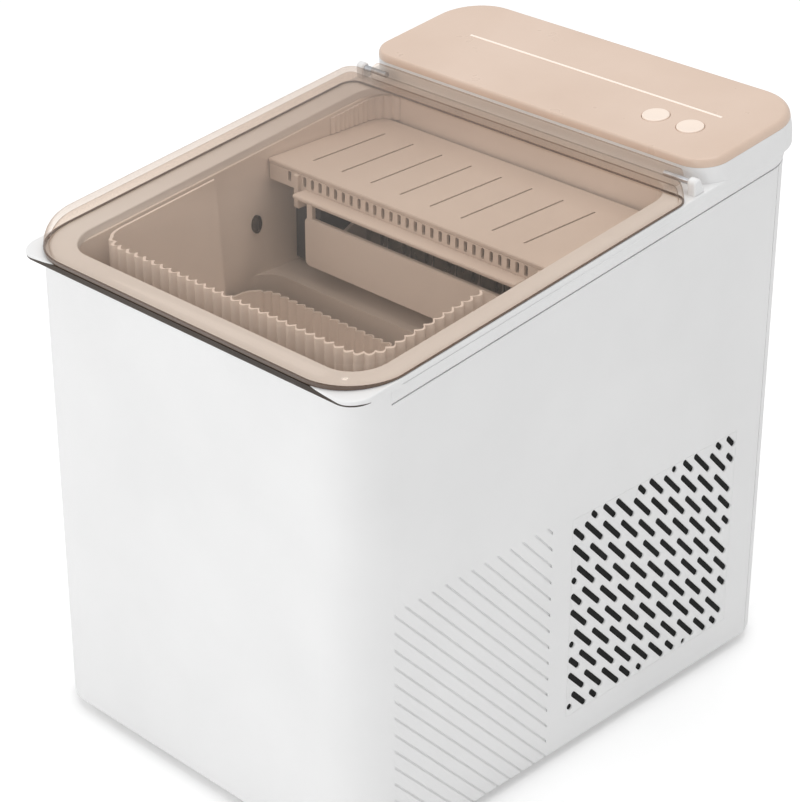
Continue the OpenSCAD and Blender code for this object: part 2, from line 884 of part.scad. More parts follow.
module fan_blade() {
    color("black") translate([0, fan_y, fan_z]) difference() {
        union() {
            rod_x(53, 67, 15);
            for (a = [0:51.4285714:320])
                rotate([a, 0, 0]) translate([60, 12, 0]) rotate([0, 32, 0])
                    translate([-1, 0, -11]) cube([1.8, 33, 22]);
        }
        rod_x(52, 62.5, 1.55);
    }
}

module filter_drier() {
    color("peru") translate([18, 128, 60]) {
        cylinder(h = 60, r = 9);
        translate([0, 0, 60]) cylinder(h = 8, r1 = 9, r2 = 3);
        translate([0, 0, -8]) cylinder(h = 8, r1 = 3, r2 = 9);
    }
}

module hot_gas_valve() {
    color("goldenrod") translate([-12, 132, 150]) {
        cylinder(h = 22, r = 7);
        translate([-11, -9, 6]) cube([22, 18, 14]);
    }
}

module discharge_tube() {
    high = 153;
    x = 82;
    color("peru") tube_run([[discharge_stub[0], discharge_stub[1], stub_z],
        [discharge_stub[0], discharge_stub[1], high], [-12, 117, high], [46, 117, high],
        [x, 119, 138], [x, 119, 120], [x, 110, 120]], 2.6);
}

module suction_tube() {
    high = tray_z + 12;
    color("peru") tube_run([[suction_stub[0], suction_stub[1], stub_z],
        [suction_stub[0], suction_stub[1], high], [suction_stub[0], 86, high]], 3.2);
}

module capillary_tube() {
    turns = 3;
    high = tray_z + 12;
    color("peru") {
        for (i = [0:turns - 1])
            translate([46, 132, 160 + i * 3.2]) rotate_extrude() translate([12, 0]) circle(1.3);
        tube_run([[18, 128, 128], [18, 128, 154], [34, 132, 161]], 1.3);
        tube_run([[58, 132, 165], [70, 112, 190], [86, 92, high], [86, 86, high]], 1.3);
    }
}

// ---------- electrics ----------

module power_inlet() {
    y = half_d;
    color("black") translate([inlet_x, 0, inlet_z]) difference() {
        union() {
            translate([-13.5, y - 22, -9.8]) cube([27, 22, 19.6]);
            translate([-25, y, -12]) cube([50, 2.4, 24]);
        }
        translate([-11.5, y - 16, -7.8]) cube([23, 20, 15.6]);
        for (x = [-20, 20])
            translate([x, 0, 0]) rod_y(y - 1, y + 4, 1.6);
    }
    color("silver") translate([inlet_x, 0, inlet_z]) for (x = [-7, 0, 7])
        translate([x - 1, y - 17, x == 0 ? 0 : -4]) cube([2, 14, 4]);
}

module power_board() {
    y = 92;
    color("darkgreen") {
        translate([-56, y, 196]) cube([104, 1.6, 62]);
        translate([-48, y + 1.5, 204]) cube([32, 22, 28]);
        translate([-6, y + 1.5, 206]) cube([18, 14, 16]);
        translate([20, y + 13, 214]) cylinder(h = 24, d = 18);
        translate([11, y + 1.5, 214]) cube([18, 8, 24]);
        for (x = [-50, 42], z = [200, 254])
            translate([x, 0, z]) rod_y(74, y, 3);
    }
}

module wiring_harness() {
    side = [[94.2, 240], [106, 250], [127, 266], [131, 279], [129, 279], [125, 267.4],
        [105, 252.4], [94.2, 243]];
    ribbon_x = -30;
    ribbon_w = 12;
    color("dimgray") translate([ribbon_x, 0, 0]) rotate([90, 0, 90]) linear_extrude(ribbon_w) polygon(side);
}

// ---------- nodes ----------

base_pan();
feet();
housing_wrap();
grille_right();
grille_left();
rear_cover();
top_cover();
control_panel_cover();
power_button();
size_button();
indicator_light_bar();
control_board();
lid();
lid_hinge_pins();
liner();
insulation();
ice_basket();
evaporator();
evaporator_cover();
water_tray();
tray_bearing();
tray_motor();
ice_shovel();
ir_sensor_left();
ir_sensor_right();
float_switch_stem();
level_float();
water_pump();
pump_impeller();
water_hose();
compressor();
compressor_grommets();
compressor_bolts();
condenser();
fan_shroud();
fan_motor();
fan_blade();
discharge_tube();
suction_tube();
capillary_tube();
filter_drier();
hot_gas_valve();
power_inlet();
power_board();
wiring_harness();
drain_spout();
drain_plug();
housing_screws();
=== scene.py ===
"""Countertop ice maker: its looks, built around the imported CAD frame.

Metres, +Z up, the front faces -Y and the right side +X.
Lengths are written in millimetres times MM.
"Deck" coordinates run along the inclined top: Y up the slope, Z along its normal.
"""
import json
import math

import bmesh
import bpy
from mathutils import Matrix, Vector


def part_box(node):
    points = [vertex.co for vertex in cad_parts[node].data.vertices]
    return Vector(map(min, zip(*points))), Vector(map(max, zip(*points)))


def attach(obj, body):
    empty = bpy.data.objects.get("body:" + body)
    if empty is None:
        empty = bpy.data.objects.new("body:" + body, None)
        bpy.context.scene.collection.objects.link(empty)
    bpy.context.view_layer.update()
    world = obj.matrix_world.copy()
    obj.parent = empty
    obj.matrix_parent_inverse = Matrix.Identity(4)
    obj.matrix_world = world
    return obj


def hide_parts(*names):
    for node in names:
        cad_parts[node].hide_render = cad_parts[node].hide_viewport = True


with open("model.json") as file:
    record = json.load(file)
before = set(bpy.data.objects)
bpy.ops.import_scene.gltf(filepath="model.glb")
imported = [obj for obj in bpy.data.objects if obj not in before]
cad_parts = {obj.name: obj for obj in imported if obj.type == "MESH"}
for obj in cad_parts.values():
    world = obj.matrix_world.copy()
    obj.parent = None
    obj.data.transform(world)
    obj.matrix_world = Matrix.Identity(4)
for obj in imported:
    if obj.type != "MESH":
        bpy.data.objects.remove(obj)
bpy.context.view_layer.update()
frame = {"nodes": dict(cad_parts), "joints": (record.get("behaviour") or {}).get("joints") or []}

MM = 0.001
ARC_STEPS = 14
SHARP_ANGLE = math.radians(32)

# ---------- driving dimensions, read from the frame ----------

press_axis = next(j for j in frame["joints"] if j["name"] == "power_button_press")["axis"]
tilt = math.atan2(press_axis[1], -press_axis[2])
pin_low, pin_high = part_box("lid_hinge_pins")
hinge_y = 70 * MM
hinge_rise = 5.5 * MM
deck_h = (pin_low.z + pin_high.z) / 2 - hinge_y * math.sin(tilt) - hinge_rise * math.cos(tilt)
deck = Matrix.Translation((0, 0, deck_h)) @ Matrix.Rotation(tilt, 4, "X")

body_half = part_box("housing_wrap")[1].x
body_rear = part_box("rear_cover")[1].y
corner_r = 25 * MM
wall = 2.2 * MM

rim_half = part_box("top_cover")[1].x
rim_front = -154.5 * MM
rim_rear = 157 * MM
rim_front_r = 11 * MM
rim_rear_r = 27 * MM
rim_t = 4 * MM
skirt_start_y = -129.5 * MM
panel_front = 76 * MM
panel_rise = 12.5 * MM
panel_front_r = 16 * MM
panel_cap_h = 4 * MM
panel_lean = 0.8 * MM

opening_half = 98 * MM
opening_front = -138.5 * MM
opening_rear = 71.5 * MM
opening_r = 18 * MM

lid_half = rim_half - 0.5 * MM
lid_front = rim_front + 0.5 * MM
lid_rear = hinge_y - 6 * MM
lid_rise = 10 * MM
lid_t = 2.4 * MM

grille_y0 = -10 * MM
grille_y1 = 113 * MM
grille_z0 = 22 * MM
grille_z1 = 133 * MM


# ---------- mesh helpers ----------

def outline(x0, y0, x1, y1, front_r, rear_r, steps=ARC_STEPS):
    """Corner points of a rectangle with round corners, counter-clockwise from the rear right."""
    corners = (
        (x1 - rear_r, y1 - rear_r, rear_r, 0),
        (x0 + rear_r, y1 - rear_r, rear_r, 90),
        (x0 + front_r, y0 + front_r, front_r, 180),
        (x1 - front_r, y0 + front_r, front_r, 270),
    )
    points = []
    for x, y, r, start in corners:
        for i in range(steps + 1):
            a = math.radians(start + 90 * i / steps)
            points.append((x + r * math.cos(a), y + r * math.sin(a)))
    return points


def symmetric(half, y0, y1, front_r, rear_r, grow=0.0):
    """Outline that is the same left and right, grown outwards by a distance."""
    return outline(
        -half - grow, y0 - grow, half + grow, y1 + grow, front_r + grow, rear_r + grow
    )


def circle(x, y, r, steps=40):
    return [
        (x + r * math.cos(2 * math.pi * i / steps), y + r * math.sin(2 * math.pi * i / steps))
        for i in range(steps)
    ]


def at_height(points, z):
    return [Vector((x, y, z)) for x, y in points]


def loft(bm, rings, closed=False, cap=False):
    """Joins neighbouring rings of points by quads; closed also joins the last to the first."""
    rows = [[bm.verts.new(p) for p in ring] for ring in rings]
    n = len(rows[0])
    pairs = list(zip(rows[:-1], rows[1:]))
    if closed:
        pairs.append((rows[-1], rows[0]))
    for a, b in pairs:
        for i in range(n):
            j = (i + 1) % n
            bm.faces.new((a[i], a[j], b[j], b[i]))
    if cap:
        bm.faces.new(reversed(rows[0]))
        bm.faces.new(rows[-1])
    return rows


def strip(bm, stations, capped=True):
    """Sweeps a closed section, given at each station, along an open path."""
    rows = [[bm.verts.new(p) for p in station] for station in stations]
    n = len(rows[0])
    for a, b in zip(rows[:-1], rows[1:]):
        for i in range(n):
            j = (i + 1) % n
            bm.faces.new((a[i], a[j], b[j], b[i]))
    if capped:
        bm.faces.new(rows[0])
        bm.faces.new(reversed(rows[-1]))


def fill_with_holes(bm, outer, holes):
    """Flat face between one loop of vertices and the loops inside it."""
    edges = []
    for loop in [outer] + holes:
        for a, b in zip(loop, loop[1:] + loop[:1]):
            edge = bm.edges.get((a, b))
            edges.append(edge if edge else bm.edges.new((a, b)))
    bmesh.ops.triangle_fill(bm, use_beauty=True, edges=edges)


def make_piece(name, build, material, body, nodes=(), matrix=None):
    """Builds a mesh, puts it in place, parents it to its body's empty and hides the frame parts it
    replaces.
    """
    bm = bmesh.new()
    build(bm)
    bmesh.ops.remove_doubles(bm, verts=bm.verts, dist=1e-6)
    bmesh.ops.recalc_face_normals(bm, faces=bm.faces)
    if matrix is not None:
        bmesh.ops.transform(bm, matrix=matrix, verts=bm.verts)
    for face in bm.faces:
        face.smooth = True
    for edge in bm.edges:
        if len(edge.link_faces) == 2 and edge.calc_face_angle() > SHARP_ANGLE:
            edge.smooth = False
    mesh = bpy.data.meshes.new(name)
    bm.to_mesh(mesh)
    bm.free()
    obj = bpy.data.objects.new(name, mesh)
    bpy.context.scene.collection.objects.link(obj)
    mesh.materials.append(material)
    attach(obj, body)
    if nodes:
        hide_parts(*nodes)
    return obj


def quarter(steps=6):
    """Sine and cosine pairs from 0 to 90 degrees."""
    return [
        (math.sin(math.pi / 2 * i / steps), math.cos(math.pi / 2 * i / steps))
        for i in range(steps + 1)
    ]


# ---------- materials ----------

class Shader:
    """A material whose node tree is built step by step around one Principled node."""

    def __init__(self, name, metallic=0.0, coat=0.0, ior=1.5):
        self.material = bpy.data.materials.new(name)
        self.material.use_nodes = True
        self.tree = self.material.node_tree
        self.main = self.tree.nodes["Principled BSDF"]
        self.main.inputs["Metallic"].default_value = metallic
        self.main.inputs["Coat Weight"].default_value = coat
        self.main.inputs["IOR"].default_value = ior
        self.coords = self.tree.nodes.new("ShaderNodeTexCoord").outputs["Object"]

    def link(self, a, b):
        self.tree.links.new(a, b)

    def stretched(self, x, y, z):
        """Object coordinates scaled per axis, for grain that runs one way."""
        node = self.tree.nodes.new("ShaderNodeMapping")
        node.inputs["Scale"].default_value = (x, y, z)
        self.link(self.coords, node.inputs["Vector"])
        return node.outputs["Vector"]

    def noise(self, scale, detail=3.0, vector=None):
        node = self.tree.nodes.new("ShaderNodeTexNoise")
        node.inputs["Scale"].default_value = scale
        node.inputs["Detail"].default_value = detail
        self.link(vector or self.coords, node.inputs["Vector"])
        return node.outputs["Fac"]

    def cells(self, scale, feature="F1", vector=None):
        node = self.tree.nodes.new("ShaderNodeTexVoronoi")
        node.feature = feature
        node.inputs["Scale"].default_value = scale
        self.link(vector or self.coords, node.inputs["Vector"])
        return node.outputs["Distance"]

    def between(self, value, low, high, start=0.3, end=0.7):
        """Maps a value's usual range to low..high."""
        node = self.tree.nodes.new("ShaderNodeMapRange")
        node.inputs["From Min"].default_value = start
        node.inputs["From Max"].default_value = end
        node.inputs["To Min"].default_value = low
        node.inputs["To Max"].default_value = high
        self.link(value, node.inputs["Value"])
        return node.outputs["Result"]

    def colour(self, value, first, second, start=0.3, end=0.7):
        """Colour that runs from first to second with a value."""
        node = self.tree.nodes.new("ShaderNodeValToRGB")
        ramp = node.color_ramp
        ramp.elements[0].position = start
        ramp.elements[0].color = (*first, 1)
        ramp.elements[1].position = end
        ramp.elements[1].color = (*second, 1)
        self.link(value, node.inputs["Fac"])
        return node.outputs["Color"]

    def paint(self, value, first, second, start=0.3, end=0.7):
        self.link(self.colour(value, first, second, start, end), self.main.inputs["Base Color"])

    def roughness(self, value, low, high):
        self.link(self.between(value, low, high), self.main.inputs["Roughness"])

    def bump(self, value, depth, strength=0.5):
        node = self.tree.nodes.new("ShaderNodeBump")
        node.inputs["Strength"].default_value = strength
        node.inputs["Distance"].default_value = depth
        self.link(value, node.inputs["Height"])
        self.link(node.outputs["Normal"], self.main.inputs["Normal"])


def plastic(name, dark, light, rough, texture=1400.0, depth=0.02 * MM, coat=0.0):
    """Moulded plastic: slight colour drift, uneven gloss and a fine spark-eroded texture."""
    s = Shader(name, coat=coat)
    s.paint(s.noise(14, 4), dark, light)
    s.roughness(s.noise(60), rough - 0.05, rough + 0.06)
    s.bump(s.noise(texture, 2), depth)
    return s.material


def metal(name, dark, light, rough, grain, depth=0.01 * MM):
    """Drawn or rolled metal with a one-way grain and stains of oxide."""
    s = Shader(name, metallic=1.0)
    s.paint(s.noise(90, 5), dark, light)
    brushed = s.noise(300, 4, s.stretched(*grain))
    s.roughness(brushed, rough - 0.08, rough + 0.12)
    s.bump(brushed, depth)
    return s.material


def foam():
    s = Shader("foam_beads")
    beads = s.cells(260)
    s.paint(beads, (0.86, 0.86, 0.85), (0.95, 0.95, 0.94), 0.1, 0.6)
    s.roughness(s.noise(40), 0.75, 0.95)
    s.bump(beads, 0.6 * MM, 0.8)
    return s.material


def circuit(name):
    """Solder mask with tracks that show as raised lines."""
    s = Shader(name, coat=0.3)
    tracks = s.cells(220, "DISTANCE_TO_EDGE")
    s.paint(tracks, (0.06, 0.30, 0.13), (0.02, 0.14, 0.06), 0.02, 0.09)
    s.roughness(s.noise(120), 0.25, 0.45)
    s.bump(tracks, 0.1 * MM, 0.4)
    return s.material


def fins():
    """Thin aluminium sheet with the dents that handling leaves."""
    s = Shader("aluminium_fin", metallic=1.0)
    s.paint(s.noise(160, 5), (0.55, 0.56, 0.58), (0.82, 0.83, 0.84))
    s.roughness(s.noise(500, 3, s.stretched(1, 1, 0.2)), 0.25, 0.5)
    s.bump(s.noise(120, 2), 0.3 * MM, 0.5)
    return s.material


def glow(name, colour, strength):
    """Frosted light guide that glows faintly."""
    s = Shader(name)
    s.paint(s.noise(300), colour, tuple(min(1, c * 1.03) for c in colour))
    s.roughness(s.noise(900), 0.35, 0.5)
    s.main.inputs["Emission Color"].default_value = (*colour, 1)
    s.main.inputs["Emission Strength"].default_value = strength
    s.bump(s.noise(1500), 0.02 * MM)
    return s.material


def tinted(name, clear, deep, rough):
    """Clear tinted sheet: see-through, deeper in tone where it is met at a slant, and polished."""
    s = Shader(name, metallic=1.0)
    nodes = s.tree.nodes
    slant = nodes.new("ShaderNodeLayerWeight")
    slant.inputs["Blend"].default_value = 0.5
    facing = slant.outputs["Facing"]
    through = nodes.new("ShaderNodeBsdfTransparent")
    s.link(s.colour(facing, clear, deep, 0.55, 0.97), through.inputs["Color"])
    s.paint(s.noise(20), (0.90, 0.87, 0.84), (0.96, 0.94, 0.92))
    s.roughness(s.noise(80), rough, rough + 0.04)
    s.bump(s.noise(30, 2), 0.02 * MM, 0.2)
    grazing = nodes.new("ShaderNodeMath")
    grazing.operation = "POWER"
    grazing.inputs[1].default_value = 4.0
    s.link(facing, grazing.inputs[0])
    mix = nodes.new("ShaderNodeMixShader")
    s.link(s.between(grazing.outputs[0], 0.02, 0.45, 0, 1), mix.inputs["Fac"])
    s.link(through.outputs["BSDF"], mix.inputs[1])
    s.link(s.main.outputs["BSDF"], mix.inputs[2])
    s.link(mix.outputs["Shader"], nodes["Material Output"].inputs["Surface"])
    return s.material


def mesh_cloth(name):
    """Fine black filter mesh, woven square."""
    s = Shader(name)
    warp = s.tree.nodes.new("ShaderNodeTexWave")
    warp.inputs["Scale"].default_value = 350
    warp.bands_direction = "Y"
    s.link(s.coords, warp.inputs["Vector"])
    weft = s.tree.nodes.new("ShaderNodeTexWave")
    weft.inputs["Scale"].default_value = 350
    weft.bands_direction = "Z"
    s.link(s.coords, weft.inputs["Vector"])
    weave = s.tree.nodes.new("ShaderNodeMath")
    weave.operation = "MULTIPLY"
    s.link(warp.outputs["Fac"], weave.inputs[0])
    s.link(weft.outputs["Fac"], weave.inputs[1])
    s.paint(weave.outputs[0], (0.002, 0.002, 0.002), (0.008, 0.008, 0.008), 0.1, 0.8)
    s.roughness(s.noise(200), 0.85, 0.98)
    s.bump(weave.outputs[0], 0.1 * MM)
    return s.material


white = plastic("white_satin", (0.83, 0.83, 0.83), (0.87, 0.87, 0.87), 0.42)
beige = plastic("panel_beige", (0.70, 0.53, 0.42), (0.76, 0.59, 0.48), 0.32, coat=0.15)
cream_button = plastic("button_cream", (0.91, 0.76, 0.65), (0.96, 0.82, 0.71), 0.3)
liner_cream = plastic("liner_cream", (0.86, 0.80, 0.755), (0.91, 0.85, 0.805), 0.5)
# Painted shade: the liner's cream plastic made darker to stand in for the shade under the lid's
# rear part.
cover_cream_painted_shade = plastic("cover_cream_painted_shade", (0.72, 0.65, 0.60), (0.77, 0.70, 0.65), 0.5)
basket_cream = plastic("basket_cream", (0.88, 0.82, 0.775), (0.93, 0.87, 0.825), 0.5)
base_grey = plastic("base_grey", (0.58, 0.58, 0.57), (0.66, 0.66, 0.65), 0.6, 900, 0.05 * MM)
rubber = plastic("rubber_dark", (0.012, 0.012, 0.012), (0.03, 0.03, 0.03), 0.8, 700, 0.08 * MM)
black_plastic = plastic("black_plastic", (0.008, 0.008, 0.008), (0.02, 0.02, 0.02), 0.5)
motor_grey = plastic("motor_grey", (0.09, 0.10, 0.12), (0.14, 0.15, 0.17), 0.5)
compressor_paint = plastic(
    "compressor_black", (0.006, 0.006, 0.006), (0.02, 0.02, 0.02), 0.35, 300, 0.1 * MM, 0.4
)
float_blue = plastic("float_blue", (0.05, 0.22, 0.45), (0.08, 0.30, 0.55), 0.7, 1200, 0.1 * MM)
hose = plastic("hose_silicone", (0.62, 0.62, 0.60), (0.74, 0.74, 0.72), 0.35)
sensor_dark = plastic("sensor_window", (0.02, 0.012, 0.01), (0.04, 0.03, 0.025), 0.15, coat=0.6)
# Painted shade: dark brown for the strip that stands in for the shadow and dark reflection along
# the rim's front edge.
rim_shade_paint = plastic("rim_shade_paint", (0.035, 0.025, 0.018), (0.06, 0.042, 0.03), 0.55)
steel = metal("zinc_steel", (0.45, 0.46, 0.48), (0.66, 0.67, 0.69), 0.35, (1, 1, 8))
copper = metal("drawn_copper", (0.50, 0.22, 0.12), (0.80, 0.42, 0.27), 0.3, (1, 1, 0.3))
nickel = metal("nickel_plate", (0.55, 0.53, 0.50), (0.75, 0.73, 0.70), 0.2, (1, 1, 0.4))
brass = metal("brass_body", (0.50, 0.36, 0.12), (0.72, 0.55, 0.24), 0.35, (1, 1, 4))
board_green = circuit("circuit_green")
light_strip = glow("light_strip", (0.97, 0.86, 0.76), 0.06)
lid_tint = tinted("lid_tint", (0.95, 0.91, 0.875), (0.62, 0.51, 0.44), 0.04)
filter_black = mesh_cloth("filter_mesh")
lid_edge_tint = plastic("lid_edge_brown", (0.10, 0.065, 0.045), (0.14, 0.09, 0.065), 0.2, coat=0.5)

carried = {
    white: ("housing_wrap", "rear_cover"),
    base_grey: ("base_pan", "drain_spout"),
    rubber: ("feet", "compressor_grommets", "wiring_harness", "drain_plug"),
    board_green: ("control_board", "power_board"),
    steel: ("lid_hinge_pins", "compressor_bolts", "housing_screws"),
    liner_cream: (
        "liner", "evaporator_cover", "water_tray", "tray_bearing", "float_switch_stem",
        "pump_impeller",
    ),
    basket_cream: ("ice_shovel",),
    foam(): ("insulation",),
    nickel: ("evaporator",),
    motor_grey: ("tray_motor", "fan_motor"),
    sensor_dark: ("ir_sensor_left", "ir_sensor_right"),
    float_blue: ("level_float",),
    black_plastic: ("water_pump", "fan_shroud", "fan_blade", "power_inlet"),
    hose: ("water_hose",),
    compressor_paint: ("compressor",),
    fins(): ("condenser",),
    copper: ("discharge_tube", "suction_tube", "capillary_tube", "filter_drier"),
    brass: ("hot_gas_valve",),
    light_strip: ("indicator_light_bar",),
}
for material, names in carried.items():
    for name in names:
        for material_slot in frame["nodes"][name].material_slots:
            material_slot.material = material


# ---------- top cover ----------

rim_play = 0.05 * MM


def rim_outline(grow=0.0):
    return symmetric(
        rim_half - rim_play, rim_front, rim_rear - rim_play, rim_front_r, rim_rear_r, grow
    )


def opening_outline(grow=0.0):
    return symmetric(opening_half, opening_front, opening_rear, opening_r, opening_r, grow)


def panel_outline(inset=0.0, front_inset=None):
    """Plan of the panel, drawn in all round, with its own distance at the front."""
    front = inset if front_inset is None else front_inset
    return outline(
        -rim_half + inset, panel_front + front, rim_half - inset, rim_rear - inset,
        panel_front_r - inset, rim_rear_r - inset,
    )


def build_rim(bm):
    """Flat rim round the opening, with soft edges and a thin lip that stands out at the front."""
    edge_r = 0.9 * MM
    inner_r = 0.8 * MM
    rings = [at_height(opening_outline(), -rim_t), at_height(opening_outline(), -inner_r)]
    rings += [
        at_height(opening_outline(inner_r * (1 - c)), -inner_r * (1 - s)) for s, c in quarter(4)
    ]
    rings += [at_height(rim_outline(-edge_r * (1 - s)), -edge_r * (1 - c)) for s, c in quarter()]
    lip = -2.7 * MM
    under_front_r = 26 * MM
    under = symmetric(
        rim_half - rim_play, rim_front + 3 * MM, rim_rear - rim_play, under_front_r, rim_rear_r
    )
    rings += [at_height(rim_outline(), lip), at_height(under, lip), at_height(under, -rim_t)]
    loft(bm, rings, closed=True)


def build_panel_walls(bm):
    """Walls of the panel's housing, leaning in a little at the sides."""
    top = panel_rise - panel_cap_h - 0.1 * MM
    inner = wall + panel_lean
    loft(bm, [
        at_height(panel_outline(), -rim_t),
        at_height(panel_outline(), 1 * MM),
        at_height(panel_outline(panel_lean * 0.3, 0), top * 0.6),
        at_height(panel_outline(panel_lean, 0), top),
        at_height(panel_outline(inner), top),
        at_height(panel_outline(inner), -rim_t),
    ], closed=True)


def build_ears(bm):
    """Two upright ears that hold the hinge pins, rounded over the top."""
    ear_w = 5 * MM
    ear_r = 2.6 * MM
    edge = 0.7 * MM
    for side in (-1, 1):
        middle = side * (rim_half - ear_w / 2 - 1 * MM)
        section = [(-ear_r, -0.5 * MM), (ear_r + 2.4 * MM, -0.5 * MM)]
        section += [
            (ear_r * math.cos(a), hinge_rise + ear_r * math.sin(a))
            for a in [math.pi * i / 12 for i in range(13)]
        ]
        stations = []
        half_w = ear_w / 2
        for x, shrink in ((-half_w, edge), (-half_w + edge, 0), (half_w - edge, 0), (half_w, edge)):
            k = 1 - shrink / ear_r
            stations.append([
                Vector((middle + x, hinge_y + y * k, hinge_rise + (z - hinge_rise) * k))
                for y, z in section
            ])
        strip(bm, stations)


make_piece("top_rim", build_rim, white, "case", ("top_cover",), deck)
make_piece("panel_housing", build_panel_walls, white, "case", matrix=deck)
make_piece("hinge_ears", build_ears, white, "case", matrix=deck)


def deck_height(y, above=0.0):
    """Height over the table of the deck plane, or a plane parallel to it, at one Y."""
    return deck_h + y * math.tan(tilt) + above / math.cos(tilt)


def body_path():
    """Points and outward directions round the sides and rear of the body, from the right front."""
    path = []
    straight = 24
    for i in range(straight):
        y = skirt_start_y + (body_rear - corner_r - skirt_start_y) * i / straight
        path.append((Vector((body_half, y)), Vector((1, 0))))
    for start, x in ((0, body_half - corner_r), (90, -body_half + corner_r)):
        for i in range(ARC_STEPS + 1):
            a = math.radians(start + 90 * i / ARC_STEPS)
            out = Vector((math.cos(a), math.sin(a)))
            path.append((Vector((x, body_rear - corner_r)) + out * corner_r, out))
    for i in range(1, straight + 1):
        y = body_rear - corner_r + (skirt_start_y - body_rear + corner_r) * i / straight
        path.append((Vector((-body_half, y)), Vector((-1, 0))))
    return path


def build_skirt(bm):
    """Skirt under the rim: flush with the wall at the seam, meeting the rim at its top."""
    section = (
        (1.9, -3.8), (1.2, -6), (0.5, -8.5), (0.1, -10.6), (-0.3, -11), (-2.2, -11), (-2.2, -3.8)
    )
    swell_length = 30 * MM
    stations = []
    for point, out in body_path():
        swell = min(1, max(0, (point.y - skirt_start_y) / swell_length))
        station = []
        for grow, above in section:
            p = point + out * (grow * MM * (swell if grow > 0 else 1))
            station.append(Vector((p.x, p.y, deck_height(p.y, above * MM))))
        stations.append(station)
    strip(bm, stations)


make_piece("top_skirt", build_skirt, white, "case")


def build_painted_rim_shade(bm):
    """Strip of painted shade along the front edge of the rim, standing in for the shadow under its
    lip and a dark reflection on its front face; it runs out at both corners.
    """
    low = -2.65 * MM
    tall = 2.75 * MM
    full_to = 84 * MM
    fade_length = 20 * MM
    depth = 1.5 * MM
    stations = []
    for x, y in front_edge():
        fade = 1 - min(1, max(0, (abs(x) - full_to) / fade_length))
        round_corner = min(1, (rim_front + rim_front_r - y) / (rim_front_r * 0.5))
        high = low + tall * (0.25 + 0.75 * fade) * round_corner + 0.05 * MM
        inward = Vector((-x, -y, 0)).normalized() * depth
        a = Vector((x, y, low))
        b = Vector((x, y, high))
        stations.append([a, b, b + inward, a + inward])
    strip(bm, stations)


def front_edge():
    """Points along the rim's front, from the left corner's side to the right one's."""
    points = [p for p in rim_outline(0.03 * MM) if p[1] < rim_front + rim_front_r]
    left, right = points[ARC_STEPS - 1], points[ARC_STEPS]
    between = [
        (left[0] + (right[0] - left[0]) * i / 12, left[1]) for i in range(1, 12)
    ]
    return points[:ARC_STEPS] + between + points[ARC_STEPS:]


# Strip of painted shade along the rim's front edge.
make_piece("rim_painted_shade", build_painted_rim_shade, rim_shade_paint, "case", matrix=deck)


# ---------- control panel ----------

button_r = 6.75 * MM
panel_top = panel_rise
light_low, light_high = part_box("indicator_light_bar")
light_y = 119 * MM
button_y = 103 * MM


def button_x(node):
    low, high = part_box(node)
    return (low.x + high.x) / 2


def slot_outline(x0, x1, y, half, steps=8):
    """A long hole with round ends, along X."""
    points = []
    for x, start in ((x1 - half, -90), (x0 + half, 90)):
        for i in range(steps + 1):
            a = math.radians(start + 180 * i / steps)
            points.append((x + half * math.cos(a), y + half * math.sin(a)))
    return points


def build_panel(bm):
    """Beige top: soft outer edge, two round button holes and the slit of the light bar."""
    side_roll = 3.2 * MM
    front_roll = 1.2 * MM
    low = panel_top - panel_cap_h
    rings = [
        at_height(panel_outline(wall + panel_lean), low),
        at_height(panel_outline(panel_lean, 0), low),
    ]
    rings += [
        at_height(
            panel_outline(panel_lean + side_roll * (1 - c), front_roll * (1 - c)),
            panel_top - panel_cap_h * (1 - s),
        )
        for s, c in quarter(8)
    ]
    flat = panel_outline(panel_lean + side_roll + 1 * MM, front_roll + 1 * MM)
    rings.append(at_height(flat, panel_top))
    rows = loft(bm, rings)
    holes = []
    shapes = [
        lambda g: circle(button_x("power_button"), button_y, button_r + 0.25 * MM + g),
        lambda g: circle(button_x("size_button"), button_y, button_r + 0.25 * MM + g),
        lambda g: slot_outline(light_low.x - g, light_high.x + g, light_y, 0.74 * MM + g),
    ]
    bevel = 0.2 * MM
    for shape in shapes:
        hole_rows = loft(bm, [
            at_height(shape(bevel), panel_top),
            at_height(shape(0), panel_top - bevel),
            at_height(shape(0), low),
        ])
        holes.append(hole_rows[0])
    fill_with_holes(bm, rows[-1], holes)


make_piece("panel_top", build_panel, beige, "case", ("control_panel_cover",), deck)


def build_button(x):
    """Button cap with a shallow dish and a rounded edge, on its guide flange."""
    def build(bm):
        top = panel_top + 0.5 * MM
        edge = 0.6 * MM
        dish = 0.25 * MM
        rings = [at_height(circle(x, button_y, button_r + 1.2 * MM), panel_top - 4.1 * MM)]
        rings.append(at_height(circle(x, button_y, button_r + 1.2 * MM), panel_top - 3.4 * MM))
        rings.append(at_height(circle(x, button_y, button_r - 0.02 * MM), panel_top - 3.3 * MM))
        rings += [
            at_height(circle(x, button_y, button_r - edge * (1 - c)), top - edge * (1 - s))
            for s, c in quarter(5)
        ]
        for i in range(1, 7):
            k = i / 7
            r = (button_r - edge) * (1 - k)
            rings.append(at_height(circle(x, button_y, r), top - dish * math.sin(k * math.pi / 2)))
        loft(bm, rings, cap=True)
    return build


for node in ("power_button", "size_button"):
    cap = build_button(button_x(node))
    make_piece(node + "_cap", cap, cream_button, node, (node,), deck)


# ---------- lid ----------

def lid_outline(side=0.0, front=0.0):
    """Plan of the lid, drawn in by one distance at the sides and rear and another at the front."""
    r = max(30 * MM - (side + front) / 2, 5 * MM)
    return outline(
        -lid_half + side, lid_front + front, lid_half - side, lid_rear - side,
        r, max(8 * MM - side, 2 * MM),
    )


